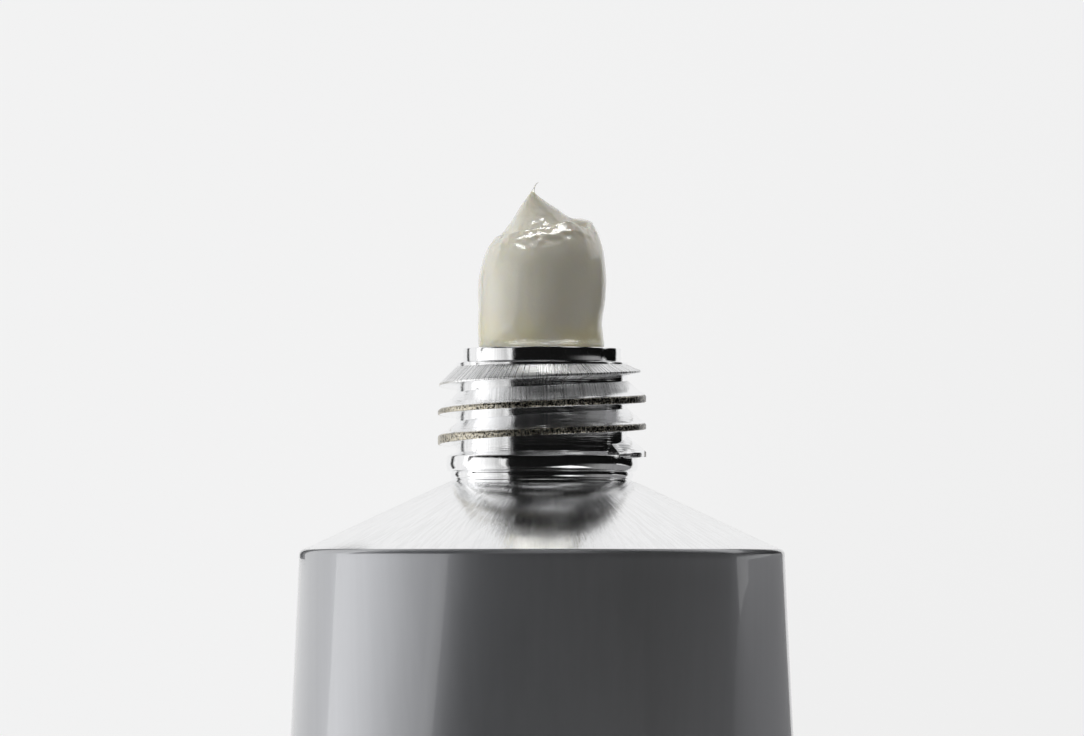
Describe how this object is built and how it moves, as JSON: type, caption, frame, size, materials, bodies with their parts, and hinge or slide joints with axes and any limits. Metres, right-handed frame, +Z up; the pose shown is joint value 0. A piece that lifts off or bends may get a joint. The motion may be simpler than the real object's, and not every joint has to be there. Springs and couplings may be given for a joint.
{
  "type": "hand cream tube",
  "caption": "Open collapsible aluminium tube of hand cream, grey lacquered with a bare threaded neck, cream standing at its mouth and a double-folded tail, lying on its flat lower wall.",
  "frame": {"origin": "on the surface that the tube lies on, under the middle of its bounding box", "axes": "+Y along the tube towards its mouth, +X across it, +Z up out of the surface; the neck's axis lies in the YZ plane and points 7.78 degrees above +Y"},
  "size_m": [0.0548, 0.1587, 0.0347],
  "materials": {
    "bare_aluminium": "satin",
    "grey_lacquer": "satin",
    "hand_cream": "satin",
    "latex_sealant": "matte"
  },
  "bodies": {
    "root": {"tube": "bare_aluminium", "lacquer_coat": "grey_lacquer", "cream": "hand_cream", "end_sealant": "latex_sealant"}
  },
  "joints": []
}
